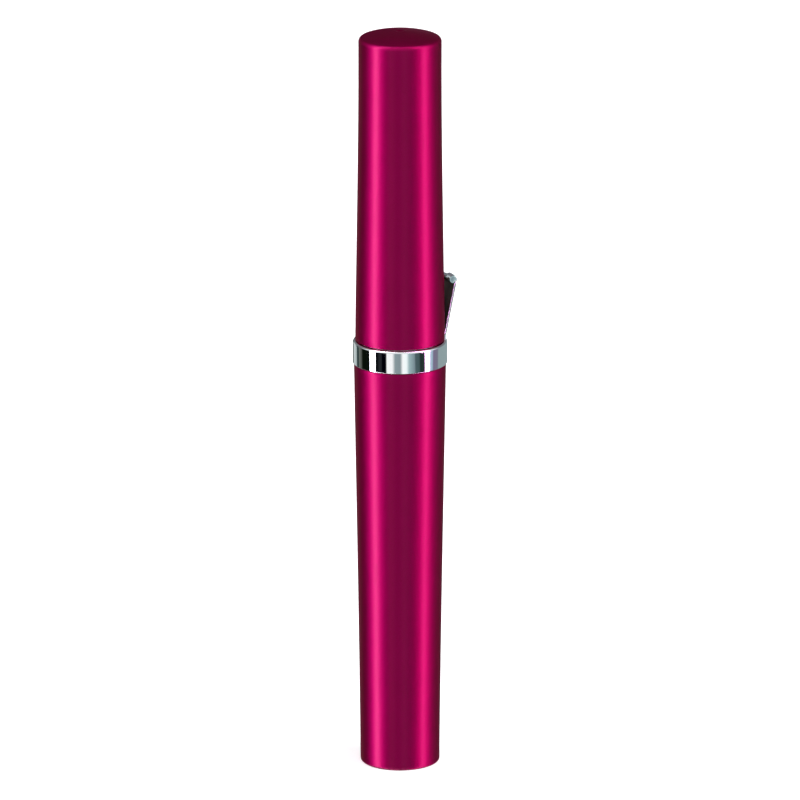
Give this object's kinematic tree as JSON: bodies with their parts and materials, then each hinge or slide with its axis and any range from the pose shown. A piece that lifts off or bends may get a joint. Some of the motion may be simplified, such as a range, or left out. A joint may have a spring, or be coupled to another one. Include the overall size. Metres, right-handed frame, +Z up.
{
  "type": "heated eyelash curler",
  "caption": "Pen-shaped battery heated eyelash curler with a pull-off cap, a comb head over a heating pad, a slide switch and a pocket clip.",
  "frame": {"origin": "centre of the flat bottom of the lower tube", "axes": "+Z up the pen towards the cap; -Y is the face with the comb head's open scoop; -X is the side of the teeth and the slide switch; the clip is between +X and +Y"},
  "size_m": [0.0194, 0.019, 0.1401],
  "materials": {
    "magenta_lacquer": "metallic magenta lacquer over moulded plastic",
    "bright_chrome": "mirror chrome",
    "white_gloss": "polished white plastic",
    "white_satin": "satin white plastic",
    "heat_resin": "heat-resistant moulding, pinkish grey",
    "silicone": "silicone rubber, pinkish beige",
    "heater_metal": "dull anodised",
    "heater_film": "amber film",
    "red_insulation": "wire insulation",
    "black_insulation": "wire insulation",
    "board_green": "solder mask",
    "black_resin": "moulded",
    "switch_steel": "tinned sheet",
    "cell_jacket": "plain printed jacket",
    "spring_steel": "nickel-plated",
    "screw_steel": "zinc-plated"
  },
  "bodies": {
    "lower_tube": {"body_tube": "magenta_lacquer"},
    "chassis": {"chrome_ring": "bright_chrome", "clip_foot": "bright_chrome", "collar": "white_gloss", "neck_housing": "white_satin", "comb_head": "white_gloss", "heater_carrier": "heat_resin", "heater_pad": "silicone", "heater_plate": "heater_metal", "heater_film": "heater_film", "heater_lead_positive": "red_insulation", "heater_lead_negative": "black_insulation", "circuit_board": "board_green", "thermal_fuse": "black_resin", "slide_switch": "switch_steel", "battery": "cell_jacket", "battery_carrier": "white_satin", "positive_contact": "spring_steel", "negative_spring": "spring_steel", "return_strip": "spring_steel", "carrier_screws": "screw_steel"},
    "clip": {"pocket_clip": "bright_chrome"},
    "switch": {"switch_knob": "white_satin", "switch_actuator": "black_resin"},
    "cap": {"cap": "magenta_lacquer"}
  },
  "joints": [
    {"name": "chassis_pull", "type": "slide", "parent": "lower_tube", "child": "chassis", "axis": [0, 0, 1], "range_m": [0, 0.07]},
    {"name": "cap_pull", "type": "slide", "parent": "chassis", "child": "cap", "axis": [0, 0, 1], "range_m": [0, 0.07]},
    {"name": "switch_slide", "type": "slide", "parent": "chassis", "child": "switch", "axis": [0, 0, 1], "range_m": [0, 0.003]},
    {"name": "clip_flex", "type": "hinge", "parent": "chassis", "child": "clip", "pos_m": [0.00641, 0.00557, 0.0819], "axis": [-0.656, 0.7547, 0], "range_deg": [0, 6], "stiffness_Nm_per_rad": 0.4}
  ]
}
